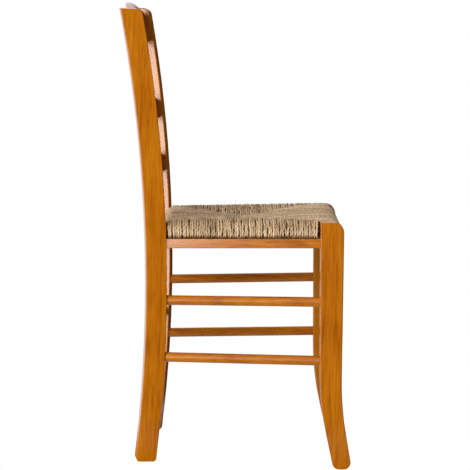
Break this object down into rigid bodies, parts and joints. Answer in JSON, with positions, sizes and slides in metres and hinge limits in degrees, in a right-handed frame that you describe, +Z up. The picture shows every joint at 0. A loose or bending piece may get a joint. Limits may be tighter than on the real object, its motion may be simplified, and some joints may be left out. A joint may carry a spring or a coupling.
{
  "type": "dining chair",
  "caption": "Wooden ladder-back dining chair with curved rear posts, arched bowed slats, kicked front legs, round stretchers and a woven rush seat.",
  "frame": {"origin": "on the floor under the middle of the chair's box", "axes": "+Z up, -Y the way the sitter faces, +X to the sitter's left"},
  "size_m": [0.4576, 0.461, 0.8935],
  "materials": {
    "stained_wood": "honey-coloured stain under satin varnish, fine straight grain",
    "raw_wood": "planed and unfinished, hidden inside the seat",
    "packing": "loose dry rush offcuts, hidden inside the seat",
    "rush": "twisted natural rush cord, dry and matt",
    "screw_steel": "plain steel screw heads under the side rails"
  },
  "bodies": {
    "root": {"rear_post_left": "stained_wood", "rear_post_right": "stained_wood", "front_leg_left": "stained_wood", "front_leg_right": "stained_wood", "crest_rail": "stained_wood", "middle_slat": "stained_wood", "lower_slat": "stained_wood", "seat_rail_front": "stained_wood", "seat_rail_rear": "stained_wood", "seat_rail_left": "stained_wood", "seat_rail_right": "stained_wood", "side_stretcher_upper_left": "stained_wood", "side_stretcher_upper_right": "stained_wood", "side_stretcher_lower_left": "stained_wood", "side_stretcher_lower_right": "stained_wood", "front_stretcher": "stained_wood", "rear_stretcher": "stained_wood", "seat_frame_front": "raw_wood", "seat_frame_rear": "raw_wood", "seat_frame_left": "raw_wood", "seat_frame_right": "raw_wood", "corner_block_front_left": "raw_wood", "corner_block_front_right": "raw_wood", "corner_block_rear_left": "raw_wood", "corner_block_rear_right": "raw_wood", "seat_packing": "packing", "rush_seat": "rush", "seat_screws": "screw_steel"}
  },
  "joints": []
}
